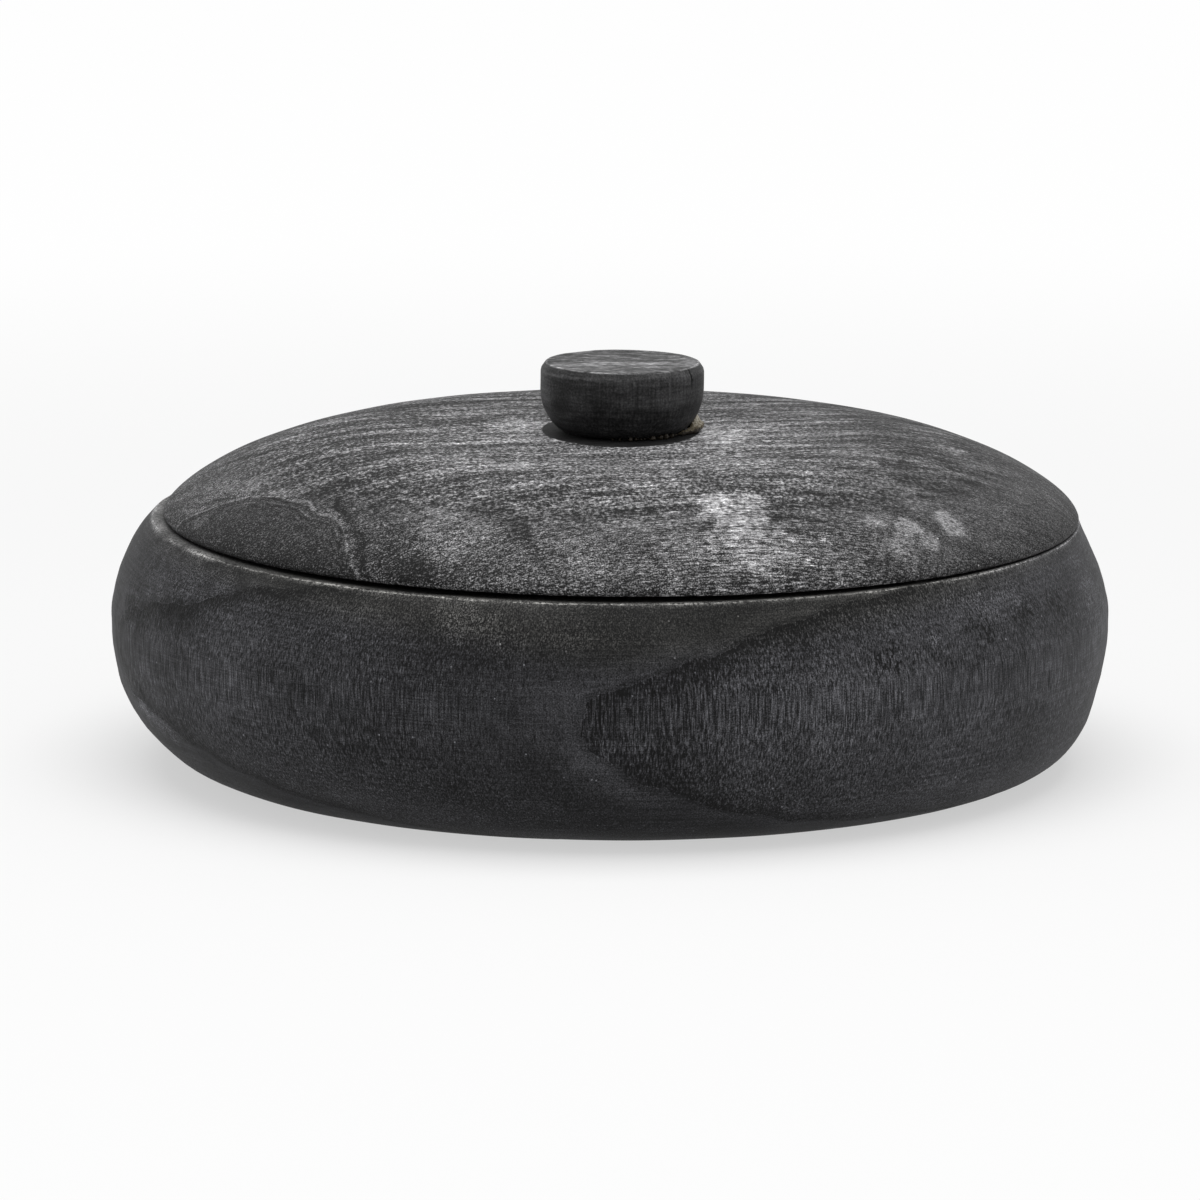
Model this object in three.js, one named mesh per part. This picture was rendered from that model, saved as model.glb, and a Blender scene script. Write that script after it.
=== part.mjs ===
// A lidded bowl turned from black-stained paulownia, with a domed lid and a puck-shaped knob.
// Millimetres, +Z up. The origin is on the table, under the middle of the belly.
import * as THREE from "three";

// Bowl: the side swells from a flat foot to the belly and draws in again to the rim
const bellyRadius = 160;
const bellyZ = 48;
const footRadius = 110;
const rimZ = 78.7;
const rimTuck = 11.5;
const tuckPower = 1.95;
const arrisRound = 1;

// The wood has moved since it was turned: the rim climbs towards its left, and its outer edge has
// gone a little to the right of the belly's middle
const rimRise = 2.1;
const rimRisePower = 4;
const rimShiftX = 1.9;
const rimShiftPower = 7;

// Bowl, inside: a wide lip round the mouth, and a hollow undercut behind it
const lipWidth = 15.5;
const lipDepth = 9;
const mouthRound = 1.2;
const wallThickness = 15.5;
const hollowZ = 42;
const floorThickness = 14;
const floorCorner = 40;

// The foot, the hollow and the lid are turned about this axis, which lies beside the middle of
// the belly; the outside comes back to the belly's own middle at this height
const turningAxisX = 3.6;
const footBlendZ = 30;

// Lid: a flat crown, a long soft shoulder and a thin edge, with a spigot that drops in the mouth
const lidInset = 2;
const lidHeight = 27.1;
const shoulderWidth = 71;
const edgeDepth = 1.2;
const edgeInset = 0.6;
const crownThickness = 15;
const spigotClearance = 2.6;
const spigotDepth = 7;
const spigotWidth = 9;
const spigotChamfer = 1.2;
const vaultCorner = 55;

// The lid has cupped across its grain
const lidCup = 0.5;

// Knob: a flat puck, tucked in under its own side
const knobRadius = 26.2;
const knobHeight = 22.4;
const knobFaceRound = 2.2;
const knobTuck = 8.7;
const knobTuckHeight = 13.6;

// Dowel, and the glue squeezed out from under the knob
const dowelRadius = 5;
const dowelInLid = 10;
const dowelInKnob = 12;
const dowelChamfer = 0.8;
const glueFrom = THREE.MathUtils.degToRad(-100);
const glueTo = THREE.MathUtils.degToRad(14);
const glueThin = 0.45;
const glueThick = 1.6;

// Clearance between pieces that meet
const seatGap = 0.3;

// Facets round each piece
const bowlSteps = 72;
const knobSteps = 40;
const dowelSteps = 20;

const rimRadius = bellyRadius - rimTuck;
const mouthRadius = rimRadius - lipWidth;
const lidRadius = rimRadius - lidInset;
const spigotRadius = mouthRadius - spigotClearance;

// The lid rests on the rim's high left and its low right, and tilts by what lies between them
const lidTilt = Math.asin(rimRise / (2 * lidRadius));

// Points of a superellipse round (r, z), from one angle to another in degrees: the higher
// powerR and powerZ are, the squarer it is.
function softArc({ r, z, radiusR, radiusZ, from, to, powerR = 2, powerZ = 2, steps }) {
  const points = [];
  for (let i = 0; i <= steps; i += 1) {
    const angle = THREE.MathUtils.degToRad(THREE.MathUtils.lerp(from, to, i / steps));
    const across = Math.abs(Math.cos(angle)) ** (2 / powerR) * Math.sign(Math.cos(angle));
    const up = Math.abs(Math.sin(angle)) ** (2 / powerZ) * Math.sign(Math.sin(angle));
    points.push(new THREE.Vector2(r + radiusR * across, z + radiusZ * up));
  }
  return points;
}

// A solid turned about Z from an outline that starts and ends on the axis.
function turned(outline, steps) {
  return new THREE.LatheGeometry(outline, steps).rotateX(Math.PI / 2);
}

// Moves each vertex by a rule, which is told the vertex's place and its number.
function moved(geometry, rule) {
  const position = geometry.getAttribute("position");
  const vertex = new THREE.Vector3();
  for (let i = 0; i < position.count; i += 1) {
    vertex.fromBufferAttribute(position, i);
    rule(vertex, i);
    position.setXYZ(i, vertex.x, vertex.y, vertex.z);
  }
  geometry.computeVertexNormals();
  return geometry;
}

function piece(name, geometry, color, roughness) {
  const material = new THREE.MeshStandardMaterial({ color, roughness, metalness: 0 });
  const mesh = new THREE.Mesh(geometry, material);
  mesh.name = name;
  return mesh;
}

// From the foot's middle up the outside to the top of the rim. Above the belly the side tucks in
// by a power of the height, and it leans by this much where it meets the rubbed arris.
function bowlOutside() {
  const lean = Math.atan((rimTuck * tuckPower) / (rimZ - bellyZ));
  const sideTopZ = rimZ - arrisRound * (1 - Math.sin(lean));
  const sideRadius = (share) => bellyRadius - rimTuck * share ** tuckPower;
  const side = [1, 2, 3, 4, 5].map((i) => {
    const z = THREE.MathUtils.lerp(bellyZ, sideTopZ, i / 5);
    return new THREE.Vector2(sideRadius((z - bellyZ) / (rimZ - bellyZ)), z);
  });
  return [
    new THREE.Vector2(0, 0),
    ...softArc({
      r: footRadius,
      z: bellyZ,
      radiusR: bellyRadius - footRadius,
      radiusZ: bellyZ,
      from: -90,
      to: 0,
      powerR: 3.45,
      powerZ: 1.95,
      steps: 11,
    }),
    ...side,
    ...softArc({
      r: side[4].x - arrisRound * Math.cos(lean),
      z: rimZ - arrisRound,
      radiusR: arrisRound,
      radiusZ: arrisRound,
      from: THREE.MathUtils.radToDeg(lean),
      to: 90,
      steps: 2,
    }).slice(1),
  ];
}

// From the inner edge of the rim down the hollow to the middle of the floor.
function bowlInside() {
  const hollowRadius = bellyRadius - wallThickness;
  const hollowTopZ = rimZ - lipDepth;
  return [
    ...softArc({
      r: mouthRadius + mouthRound,
      z: rimZ - mouthRound,
      radiusR: mouthRound,
      radiusZ: mouthRound,
      from: 90,
      to: 180,
      steps: 2,
    }),
    ...softArc({
      r: mouthRadius,
      z: hollowZ,
      radiusR: hollowRadius - mouthRadius,
      radiusZ: hollowTopZ - hollowZ,
      from: 90,
      to: 0,
      steps: 4,
    }),
    ...softArc({
      r: hollowRadius - floorCorner,
      z: hollowZ,
      radiusR: floorCorner,
      radiusZ: hollowZ - floorThickness,
      from: 0,
      to: -90,
      powerR: 2.5,
      powerZ: 2.3,
      steps: 7,
    }).slice(1),
    new THREE.Vector2(0, floorThickness),
  ];
}

// The bowl is turned in two chuckings that don't share a middle: the inside keeps to the turning
// axis, and the outside leaves it between the foot and the belly. Above the belly the rim climbs
// to the left, by a power of how far round to the left a vertex is.
function bowlGeometry() {
  const outside = bowlOutside();
  const outline = [...outside, ...bowlInside()];
  return moved(turned(outline, bowlSteps), (vertex, i) => {
    const onOutside = i % outline.length < outside.length;
    const aboveBelly = THREE.MathUtils.clamp((vertex.z - bellyZ) / (rimZ - bellyZ), 0, 1);
    const leftward = (1 - Math.cos(Math.atan2(vertex.y, vertex.x))) / 2;
    const footShare = 1 - THREE.MathUtils.smoothstep(vertex.z, 0, footBlendZ);
    vertex.x += turningAxisX * (onOutside ? footShare : 1);
    vertex.x += onOutside ? rimShiftX * aboveBelly ** rimShiftPower : 0;
    vertex.z += rimRise * aboveBelly * leftward ** rimRisePower;
  });
}

// The lid's zero height is the underside of its edge. Its outline runs from the vault inside,
// round the spigot and the edge, over the shoulder to the crown and into the dowel's hole.
function lidGeometry() {
  const spigotInner = spigotRadius - spigotWidth;
  const vaultZ = lidHeight - crownThickness;
  const holeRadius = dowelRadius + seatGap;
  const holeZ = lidHeight - dowelInLid - seatGap;
  const outline = [
    new THREE.Vector2(0, vaultZ),
    ...softArc({
      r: spigotInner - vaultCorner,
      z: -spigotDepth,
      radiusR: vaultCorner,
      radiusZ: vaultZ + spigotDepth,
      from: 90,
      to: 0,
      powerR: 2.2,
      steps: 6,
    }),
    new THREE.Vector2(spigotRadius - spigotChamfer, -spigotDepth),
    new THREE.Vector2(spigotRadius, spigotChamfer - spigotDepth),
    new THREE.Vector2(spigotRadius, 0),
    ...softArc({
      r: lidRadius - edgeInset,
      z: edgeDepth,
      radiusR: edgeInset,
      radiusZ: edgeDepth,
      from: -90,
      to: 0,
      steps: 3,
    }),
    ...softArc({
      r: lidRadius - shoulderWidth,
      z: edgeDepth,
      radiusR: shoulderWidth,
      radiusZ: lidHeight - edgeDepth,
      from: 0,
      to: 90,
      powerR: 1.83,
      powerZ: 1.37,
      steps: 11,
    }).slice(1),
    new THREE.Vector2(holeRadius, lidHeight),
    new THREE.Vector2(holeRadius, holeZ),
    new THREE.Vector2(0, holeZ),
  ];
  return moved(turned(outline, bowlSteps), (vertex) => {
    vertex.z += lidCup * (vertex.y / lidRadius) ** 2;
  });
}

// The knob's zero height is its base, which is bored for the dowel.
function knobGeometry() {
  const holeRadius = dowelRadius + seatGap;
  const holeZ = dowelInKnob + seatGap;
  const outline = [
    new THREE.Vector2(0, holeZ),
    new THREE.Vector2(holeRadius, holeZ),
    new THREE.Vector2(holeRadius, 0),
    ...softArc({
      r: knobRadius - knobTuck,
      z: knobTuckHeight,
      radiusR: knobTuck,
      radiusZ: knobTuckHeight,
      from: -90,
      to: 0,
      powerR: 1.8,
      powerZ: 1.8,
      steps: 6,
    }),
    ...softArc({
      r: knobRadius - knobFaceRound,
      z: knobHeight - knobFaceRound,
      radiusR: knobFaceRound,
      radiusZ: knobFaceRound,
      from: 0,
      to: 90,
      steps: 4,
    }),
    new THREE.Vector2(0, knobHeight),
  ];
  return turned(outline, knobSteps);
}

// The dowel's zero height is the knob's base.
function dowelGeometry() {
  const bottomZ = -dowelInLid - seatGap;
  const outline = [
    new THREE.Vector2(0, bottomZ),
    new THREE.Vector2(dowelRadius - dowelChamfer, bottomZ),
    new THREE.Vector2(dowelRadius, bottomZ + dowelChamfer),
    new THREE.Vector2(dowelRadius, dowelInKnob - dowelChamfer),
    new THREE.Vector2(dowelRadius - dowelChamfer, dowelInKnob),
    new THREE.Vector2(0, dowelInKnob),
  ];
  return turned(outline, dowelSteps);
}

// Radius of the knob's tucked side at a height over its base.
function knobRadiusAt(z) {
  const down = 1 - z / knobTuckHeight;
  return knobRadius - knobTuck + knobTuck * (1 - down ** 1.8) ** (1 / 1.8);
}

// The bead of dried glue follows the corner under the knob, thin in front and swelling to a lump
// at the right. It is round in section, and each ring stands just clear of the knob's side.
// Its zero height is its own underside.
function glueGeometry() {
  const steps = 24;
  const sides = 8;
  const places = [];
  for (let i = 0; i <= steps; i += 1) {
    const share = i / steps;
    const angle = THREE.MathUtils.lerp(glueFrom, glueTo, share);
    const radius = THREE.MathUtils.lerp(glueThin, glueThick, share ** 2.4);
    const middle = knobRadiusAt(2 * radius) + seatGap + radius;
    for (let k = 0; k < sides; k += 1) {
      const turn = (2 * Math.PI * (k + 0.5)) / sides;
      const out = middle + radius * Math.cos(turn);
      const up = radius * (1 + Math.sin(turn));
      places.push(out * Math.cos(angle), out * Math.sin(angle), up);
    }
  }
  const faces = [];
  for (let i = 0; i < steps * sides; i += sides) {
    for (let k = 0; k < sides; k += 1) {
      const next = (k + 1) % sides;
      faces.push(i + k, i + k + sides, i + next);
      faces.push(i + next, i + k + sides, i + next + sides);
    }
  }
  const end = steps * sides;
  for (let k = 1; k < sides - 1; k += 1) {
    faces.push(0, k, k + 1);
    faces.push(end, end + k + 1, end + k);
  }
  const geometry = new THREE.BufferGeometry();
  geometry.setAttribute("position", new THREE.Float32BufferAttribute(places, 3));
  geometry.setIndex(faces);
  geometry.computeVertexNormals();
  return geometry;
}

const bowl = piece("bowl", bowlGeometry(), 0x38383a, 0.78);

const knob = new THREE.Group();
knob.position.z = lidHeight + seatGap;
knob.add(piece("knob", knobGeometry(), 0x303032, 0.7));
knob.add(piece("knob_dowel", dowelGeometry(), 0xa98d63, 0.85));
knob.add(piece("glue_bead", glueGeometry(), 0x8f8263, 0.5));

const lid = new THREE.Group();
lid.position.set(turningAxisX, 0, rimZ + seatGap + rimRise / 2);
lid.rotation.y = lidTilt;
lid.add(piece("lid", lidGeometry(), 0x4c4c4e, 0.72), knob);

const container = new THREE.Group();
container.add(bowl, lid);

export default container;
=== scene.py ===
# A lidded bowl turned from black-stained paulownia, dressed around its packed construction
import math

import bpy
import numpy as np
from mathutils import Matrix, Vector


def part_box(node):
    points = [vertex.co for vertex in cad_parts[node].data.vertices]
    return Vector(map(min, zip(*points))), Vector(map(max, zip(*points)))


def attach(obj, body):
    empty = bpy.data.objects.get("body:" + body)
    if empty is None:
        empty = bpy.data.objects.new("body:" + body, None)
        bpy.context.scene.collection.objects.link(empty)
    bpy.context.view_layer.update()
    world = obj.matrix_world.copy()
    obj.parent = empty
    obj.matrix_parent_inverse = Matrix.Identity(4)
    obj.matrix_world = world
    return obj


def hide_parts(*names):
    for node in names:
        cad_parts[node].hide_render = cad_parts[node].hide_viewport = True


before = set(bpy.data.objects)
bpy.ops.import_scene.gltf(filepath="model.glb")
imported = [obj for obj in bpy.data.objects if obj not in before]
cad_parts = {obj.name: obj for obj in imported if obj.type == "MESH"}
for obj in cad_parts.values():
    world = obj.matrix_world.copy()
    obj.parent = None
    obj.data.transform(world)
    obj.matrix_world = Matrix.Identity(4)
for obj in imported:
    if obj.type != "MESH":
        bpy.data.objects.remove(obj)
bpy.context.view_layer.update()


# The camera stands low in front, far off with a long lens, as a product is photographed: it looks
# down by ten and a half degrees at the middle of the picture, which is just above the belly.
def put_in_scene(name, data):
    """A new object in the scene, at the origin, unturned and unscaled."""
    made = bpy.data.objects.new(name, data)
    bpy.context.scene.collection.objects.link(made)
    return made


camera_place = (-0.00321, -2.8449, 0.5851)
camera_looks_down = 10.61
camera_data = bpy.data.cameras.new("camera")
camera_data.sensor_width = 36.0
camera_data.lens = 270.27
camera_data.clip_end = 50.0
camera = put_in_scene("camera", camera_data)
camera.location = camera_place
camera.rotation_euler = (math.radians(90 - camera_looks_down), 0, 0)
bpy.context.scene.camera = camera


# The studio: a pale seamless floor, a white surround and one wide soft lamp overhead. The floor
# is a plain sheet under the bowl, partly its own light to the camera so that it reads white.
def add_node(tree, kind, sockets=None, **settings):
    """Adds a shader node. A socket is given a number, a colour or another node's output."""
    made = tree.nodes.new(kind)
    for setting, value in settings.items():
        setattr(made, setting, value)
    for socket, value in (sockets or {}).items():
        if isinstance(value, bpy.types.NodeSocket):
            tree.links.new(value, made.inputs[socket])
        else:
            made.inputs[socket].default_value = value
    return made


def empty_tree(owner):
    """The shader nodes of a material or of the world, cleared."""
    owner.use_nodes = True
    owner.node_tree.nodes.clear()
    return owner.node_tree


def empty_material(name):
    """A material with nothing in it, and its node tree."""
    material = bpy.data.materials.new(name)
    return material, empty_tree(material)


def reckon(tree, operation, *terms):
    """One step of arithmetic on numbers or sockets."""
    return add_node(tree, "ShaderNodeMath", dict(enumerate(terms)), operation=operation).outputs[0]


def vector_reckon(tree, operation, *terms):
    """One step of arithmetic on places."""
    made = add_node(tree, "ShaderNodeVectorMath", dict(enumerate(terms)), operation=operation)
    return made.outputs["Value" if operation in ("LENGTH", "DISTANCE") else "Vector"]


def step_between(tree, value, low, high, at_low=0.0, at_high=1.0, kind="SMOOTHSTEP"):
    """at_low up to low, at_high from high on, and a smooth step between: three times the square
    of the share of the way less twice its cube. Where low is above high, it runs backwards."""
    return add_node(
        tree, "ShaderNodeMapRange",
        {"Value": value, "From Min": low, "From Max": high, "To Min": at_low, "To Max": at_high},
        interpolation_type=kind).outputs["Result"]


def seen_directly(tree):
    """1 for rays that show the background itself, and 0 for others: the largest of the marks of
    a straight ray, a mirrored one and one through glass."""
    ray = add_node(tree, "ShaderNodeLightPath").outputs
    mirrored = reckon(tree, "MAXIMUM", ray["Is Camera Ray"], ray["Is Glossy Ray"])
    return reckon(tree, "MAXIMUM", mirrored, ray["Is Transmission Ray"])


white = (1, 1, 1, 1)
floor_half_width = 5.0
floor_colour = (0.86, 0.86, 0.86, 1)
floor_own_light_from = (0.35, 1.2)
floor_own_light = (0.55, 0.98)
floor_mesh = bpy.data.meshes.new("studio_floor")
floor_mesh.from_pydata([(right * floor_half_width, back * floor_half_width, 0)
                        for right, back in ((-1, -1), (1, -1), (1, 1), (-1, 1))],
                       [], [(0, 1, 2, 3)])
floor = put_in_scene("studio_floor", floor_mesh)
floor_paint, tree = empty_material("studio_floor")
floor_shade = add_node(tree, "ShaderNodeBsdfDiffuse", {"Color": floor_colour})
floor_light = add_node(tree, "ShaderNodeEmission", {"Color": white, "Strength": 1.0})
floor_reach = vector_reckon(
    tree, "LENGTH", add_node(tree, "ShaderNodeTexCoord").outputs["Object"])
floor_glow = step_between(tree, floor_reach, *floor_own_light_from, *floor_own_light)
floor_mix = add_node(
    tree, "ShaderNodeMixShader",
    {0: reckon(tree, "MULTIPLY", seen_directly(tree), floor_glow), 1: floor_shade.outputs[0],
     2: floor_light.outputs[0]})
add_node(tree, "ShaderNodeOutputMaterial", {"Surface": floor_mix.outputs[0]})
floor_mesh.materials.append(floor_paint)

surround_light = 0.45
world = bpy.data.worlds.new("studio")
tree = empty_tree(world)
shown = add_node(tree, "ShaderNodeBackground", {"Color": white, "Strength": 1.0})
soft = add_node(tree, "ShaderNodeBackground", {"Color": white, "Strength": surround_light})
surround = add_node(
    tree, "ShaderNodeMixShader",
    {0: seen_directly(tree), 1: soft.outputs[0], 2: shown.outputs[0]})
add_node(tree, "ShaderNodeOutputWorld", {"Surface": surround.outputs[0]})
bpy.context.scene.world = world
bpy.context.scene.view_settings.view_transform = "Standard"

lamp_width = 2.6
lamp_power = 52.0
lamp_place = (0, -0.5, 2.4)
lamp_tilt = -12
lamp_data = bpy.data.lights.new("overhead_softbox", "AREA")
lamp_data.shape = "SQUARE"
lamp_data.size = lamp_width
lamp_data.energy = lamp_power
lamp = put_in_scene("overhead_softbox", lamp_data)
lamp.location = lamp_place
lamp.rotation_euler = (math.radians(lamp_tilt), 0, 0)


# The bowl: one block of black-stained paulownia, turned with its fibres upright. The side swells
# from a flat foot and draws in to a wide lip, and the hollow is undercut behind the lip. The
# outside is turned about a slightly different middle than the foot, the lip and the hollow.
MM = 0.001
bowl_low, bowl_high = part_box("bowl")
belly_radius = (bowl_high.x - bowl_low.x) / 2 / MM
belly_z = 48.0
foot_radius = 110.0
foot_blend_z = 30.0
side_power = (3.45, 1.95)
rim_tuck = 11.5
tuck_power = 1.95
arris_round = 1.0
lip_width = 15.5
lip_depth = 9.0
mouth_round = 1.2
wall_thickness = 15.5
hollow_z = 42.0
floor_thickness = 14.0
floor_corner = 40.0
floor_power = (2.5, 2.3)
turning_axis_x = 3.6
bowl_turns = 680

# The wood has moved since: the rim climbs to its left, and its outside shifts to the right
rim_rise = 2.1
rim_rise_power = 4
rim_shift_x = 1.9
rim_shift_power = 7
rim_z = bowl_high.z / MM - rim_rise
rim_radius = belly_radius - rim_tuck
mouth_radius = rim_radius - lip_width


def spaced(points, steps):
    """The same outline as points evenly spaced along its length: the run up to each point is the
    sum of the straight steps before it, and the new points are read off at even runs."""
    run = np.concatenate([[0], np.cumsum(np.hypot(*np.diff(points, axis=0).T))])
    at = np.linspace(0, run[-1], steps + 1)
    return np.column_stack([np.interp(at, run, points[:, 0]), np.interp(at, run, points[:, 1])])


def soft_arc(r, z, radius_r, radius_z, start, end, steps, power_r=2.0, power_z=2.0):
    """Points (r, z) of a superellipse, evenly spaced along it: its centre plus its radius times
    the cosine (for r) or the sine (for z) of an angle, raised to 2 over the power."""
    angle = np.radians(np.linspace(start, end, 4001))
    across, up = np.cos(angle), np.sin(angle)
    fine = np.column_stack([
        r + radius_r * np.sign(across) * np.abs(across) ** (2 / power_r),
        z + radius_z * np.sign(up) * np.abs(up) ** (2 / power_z)])
    return spaced(fine, steps)


def straight(r0, z0, r1, z1, steps):
    """Evenly spaced points from one point of an outline to another."""
    return spaced(np.array([[r0, z0], [r1, z1]], float), steps)


def joined(*parts):
    """Parts of an outline end to end, without the points that two parts share."""
    outline = [parts[0]]
    for part in parts[1:]:
        skip = 1 if np.allclose(outline[-1][-1], part[0], atol=1e-6) else 0
        outline.append(part[skip:])
    return np.vstack(outline)


def bowl_outline():
    """From the foot's middle up the outside, over the rim and down the hollow to its floor. A
    superellipse arc runs from the foot to the belly. Above it the radius is the belly's less the
    tuck times a power of the share of the height. The lip is flat between two round edges, and
    two superellipse arcs make the hollow. Gives the points, and how many are on the outside."""
    lean = math.atan(rim_tuck * tuck_power / (rim_z - belly_z))
    side_top_z = rim_z - arris_round * (1 - math.sin(lean))
    height = np.linspace(belly_z, side_top_z, 2001)
    side = np.column_stack(
        [belly_radius - rim_tuck * ((height - belly_z) / (rim_z - belly_z)) ** tuck_power, height])
    arris_r = side[-1, 0] - arris_round * math.cos(lean)
    hollow_radius = belly_radius - wall_thickness
    outside = joined(
        straight(0, 0, foot_radius, 0, steps=5),
        soft_arc(foot_radius, belly_z, belly_radius - foot_radius, belly_z,
                 -90, 0, 42, *side_power),
        spaced(side, steps=30),
        soft_arc(arris_r, rim_z - arris_round, arris_round, arris_round,
                 math.degrees(lean), 90, steps=6))
    inside = joined(
        soft_arc(mouth_radius + mouth_round, rim_z - mouth_round, mouth_round, mouth_round,
                 90, 180, steps=4),
        soft_arc(mouth_radius, hollow_z, hollow_radius - mouth_radius,
                 rim_z - lip_depth - hollow_z, 90, 0, steps=16),
        soft_arc(hollow_radius - floor_corner, hollow_z, floor_corner,
                 hollow_z - floor_thickness, 0, -90, 18, *floor_power),
        straight(hollow_radius - floor_corner, floor_thickness, 0, floor_thickness, steps=8))
    land = straight(arris_r, rim_z, inside[0, 0], rim_z, steps=6)[1:-1]
    return np.vstack([outside, land, inside]), len(outside)


def outline_normals(outline):
    """The outward direction (r, z) at each point of an outline: its own direction there, turned
    by a quarter turn."""
    along = np.gradient(outline, axis=0)
    along /= np.linalg.norm(along, axis=1, keepdims=True)
    return np.column_stack([along[:, 1], -along[:, 0]])


def turned(outline, turns):
    """An outline swept round its axis: grids of the radius, the angle and the height, with a row
    for each point of the outline and a column for each even step of the turn."""
    around = np.linspace(0, 2 * np.pi, turns, endpoint=False)
    r, turn = np.meshgrid(outline[:, 0], around, indexing="ij")
    return r, turn, np.repeat(outline[:, 1:], turns, axis=1)


def unevenness(x, y, z, size, seed, waves=28):
    """A smooth random field of mean 0 and deviation 1: the sum of the cosines of plane waves of
    about one length, with seeded directions, lengths and phases, times the square root of two
    over their number."""
    draw = np.random.default_rng(seed)
    way = draw.normal(size=(waves, 3))
    way /= np.linalg.norm(way, axis=1, keepdims=True) * draw.uniform(0.7, 1.6, (waves, 1)) * size
    phase = draw.uniform(0, 2 * np.pi, waves)
    total = np.zeros_like(x)
    for (a, b, c), start in zip(2 * np.pi * way, phase):
        total += np.cos(a * x + b * y + c * z + start)
    return total * math.sqrt(2 / waves)


def smooth(value, low, high):
    """0 below low, 1 above high, and between them three times the square of the share of the way
    less twice its cube."""
    share = np.clip((value - low) / (high - low), 0, 1)
    return share * share * (3 - 2 * share)


def skin(name, x, y, z, marks):
    """A closed mesh from a grid of places in millimetres: rows follow the outline and columns
    go round the turn. The first and the last row are one point each. Marks are numbers for
    each place, which the material reads as attributes."""
    rows, turns = x.shape
    places = np.stack([x, y, z], -1) * MM

    def with_poles(grid):
        """The grid as one list, with a single point for its first row and for its last."""
        return np.concatenate([grid[0, :1], grid[1:-1].reshape(-1, *grid.shape[2:]), grid[-1, :1]])

    points = with_poles(places)
    ring = 1 + np.arange((rows - 2) * turns).reshape(rows - 2, turns)
    after = np.roll(ring, -1, axis=1)
    quads = np.stack([ring[:-1], after[:-1], after[1:], ring[1:]], -1).reshape(-1, 4)
    first = np.stack([np.zeros(turns, int), after[0], ring[0]], -1)
    last = np.stack([ring[-1], after[-1], np.full(turns, len(points) - 1)], -1)
    mesh = bpy.data.meshes.new(name)
    mesh.from_pydata(points.tolist(), [], first.tolist() + quads.tolist() + last.tolist())
    mesh.polygons.foreach_set("use_smooth", np.full(len(mesh.polygons), True))
    for mark, grid in marks.items():
        layer = mesh.attributes.new(mark, "FLOAT", "POINT")
        layer.data.foreach_set("value", with_poles(grid).astype(np.float32))
    return put_in_scene(name, mesh)


outline, outside_rows = bowl_outline()
normal = outline_normals(outline)
r, turn, z = turned(outline, bowl_turns)
row = np.arange(len(outline))[:, None]
row_z = outline[:, 1:]
on_outside = row < outside_rows
above_belly = np.clip((row_z - belly_z) / (rim_z - belly_z), 0, 1)
shift = np.where(on_outside, 1 - smooth(row_z, 0, foot_blend_z), 1) * turning_axis_x
shift = shift + on_outside * rim_shift_x * above_belly ** rim_shift_power
x = r * np.cos(turn) + shift
y = r * np.sin(turn)
z = z + rim_rise * above_belly * ((1 - np.cos(turn)) / 2) ** rim_rise_power

# The growth rings stand upright about the tree's middle, which lies left of the bowl's and leans
bowl_pith = (-24.0, 4.0, belly_z)
bowl_pith_lean = (0.02, -0.075, 0.0)
bowl_rings = (14.0, 36.0, 60.0, 84.0, 111.0, 137.0, 165.0, 188.0)
ring_place = np.hypot(x - bowl_pith[0] - bowl_pith_lean[0] * (z - belly_z),
                      y - bowl_pith[1] - bowl_pith_lean[1] * (z - belly_z))
ring_place = ring_place + unevenness(x, y, z, 25, seed=3)
since_ring = ring_place - np.max(
    [np.where(ring_place > start, start, 0) for start in bowl_rings], axis=0)

# The surface is sunk where a ring starts, and it waves up the side and round it. The arris, which
# is the rim's outer edge and the last seven rows of the outside, is worn unevenly.
skin_depth = 0.08
ring_depth, ring_fade = 0.16, 5
wave_height = 0.05
wear_depth, wear_rows = 0.12, 4.0
relief = -skin_depth - ring_depth * np.exp(-since_ring / ring_fade)
relief = relief + wave_height * unevenness(0 * x, 0 * y, z, 6, seed=5)
relief = relief + wave_height * unevenness(x, y, z, 34, seed=6)
relief = relief * on_outside * smooth(row_z, 0.05, 2.0)
arris_row = outside_rows - 4
near_arris = np.exp(-((row - arris_row) / wear_rows) ** 2)
relief = relief - near_arris * wear_depth * (1 + unevenness(x, y, z, 9, seed=7))
x = x + relief * normal[:, :1] * np.cos(turn)
y = y + relief * normal[:, :1] * np.sin(turn)
z = np.where(row_z >= rim_z, z, np.maximum(z + relief * normal[:, 1:], 0))

# Where the stain has rubbed off: a thin line along the arris, broader at the left and in places
rubbed_width, broader_in_places, broader_at_left = 0.40, 0.14, 0.4
round_rim = np.arctan2(y, x - turning_axis_x)
at_left = smooth(-np.cos(round_rim), 0.78, 0.97)
in_places = smooth(unevenness(np.cos(round_rim) * 60, np.sin(round_rim) * 60, 0 * z, 22, seed=11),
                   -1, 1.5)
arris_width = rubbed_width + broader_in_places * in_places + broader_at_left * at_left
arris_reach = np.hypot(*(outline - outline[arris_row]).T)[:, None]
arris_wear = np.exp(-(arris_reach / arris_width) ** 2)
arris_wear = arris_wear * np.clip(0.85 + 0.22 * unevenness(x, y, 0 * z, 17, seed=12), 0.35, 1.2)
long_grain = 1 - smooth(np.abs(np.repeat(normal[:, 1:], bowl_turns, axis=1)), 0.08, 0.5)


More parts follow.
